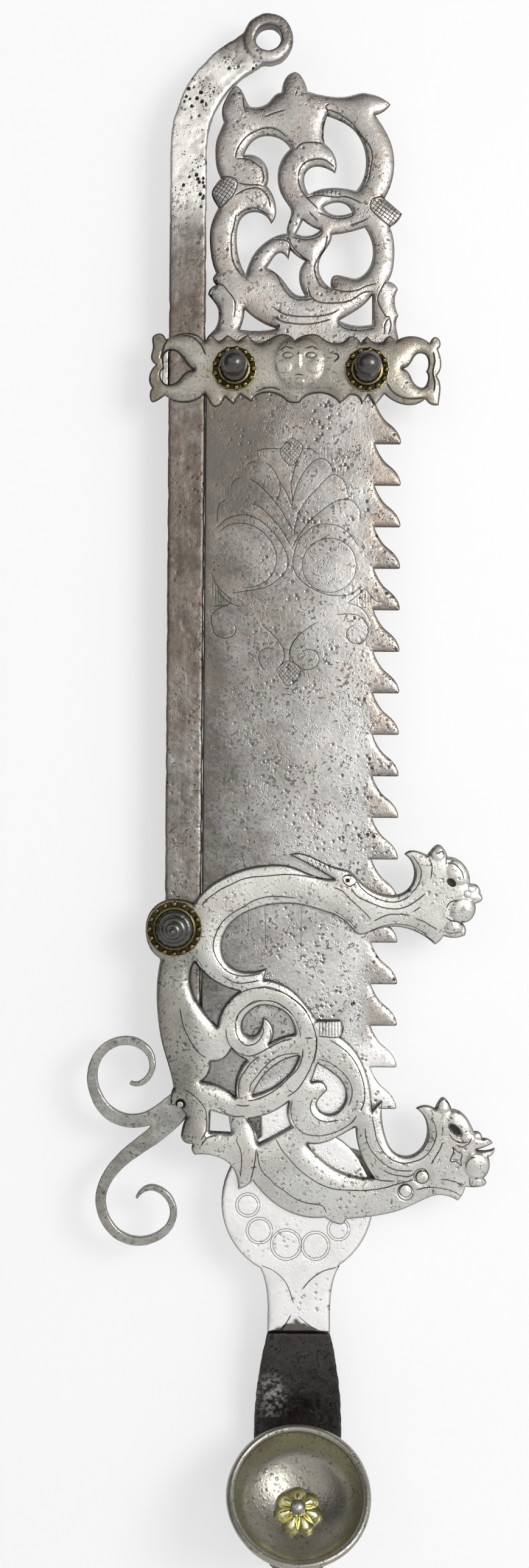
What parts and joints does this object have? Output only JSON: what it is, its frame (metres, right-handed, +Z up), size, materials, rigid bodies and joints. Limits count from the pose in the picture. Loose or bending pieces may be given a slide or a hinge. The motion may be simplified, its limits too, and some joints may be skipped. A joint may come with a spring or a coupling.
{
  "type": "pot trammel",
  "caption": "Wrought-iron saw-toothed pot trammel: a pierced blade slides on an eyed bar, a swinging catch holds its teeth, and its hook carries a dish.",
  "frame": {"origin": "centre of the hanging eye, in the middle of the bar's thickness", "axes": "+Z up along the hanging bar, front towards -Y, teeth towards +X"},
  "size_m": [0.2678, 0.0972, 1.019],
  "materials": {
    "bar_iron": "satin, hammered and browned",
    "blade_steel": "polished, mottled and finely pitted",
    "catch_steel": "polished with brown stains",
    "hook_iron": "dark and satin",
    "dish_iron": "satin, browned",
    "bright_brass": "cast and rubbed bright",
    "old_brass": "cast and darkened",
    "black_iron": "black and glossy"
  },
  "bodies": {
    "bar": {"hanging_bar": "bar_iron"},
    "blade": {"saw_blade": "blade_steel", "pot_hook": "hook_iron", "hook_dish": "dish_iron", "dish_rosette": "bright_brass", "dish_rivet": "hook_iron", "collar_front_plate": "catch_steel", "collar_back_strap": "bar_iron", "collar_washer_left": "old_brass", "collar_washer_right": "old_brass", "collar_rivet_left": "black_iron", "collar_rivet_right": "black_iron"},
    "catch": {"catch_front_plate": "catch_steel", "catch_back_strap": "bar_iron", "catch_block": "bar_iron", "catch_rivet_upper": "bar_iron", "catch_rivet_lower": "bar_iron", "pivot_washer": "old_brass", "pivot_rivet": "black_iron", "pivot_back_washer": "bar_iron", "scroll_handle": "catch_steel", "scroll_rivet": "bar_iron"}
  },
  "joints": [
    {"name": "blade_slide", "type": "slide", "parent": "bar", "child": "blade", "axis": [0, 0, 1], "range_m": [-0.245, 0]},
    {"name": "catch_swing", "type": "hinge", "parent": "bar", "child": "catch", "pos_m": [-0.0572, 0, -0.5849], "axis": [0, 1, 0], "range_deg": [-3, 4]}
  ]
}
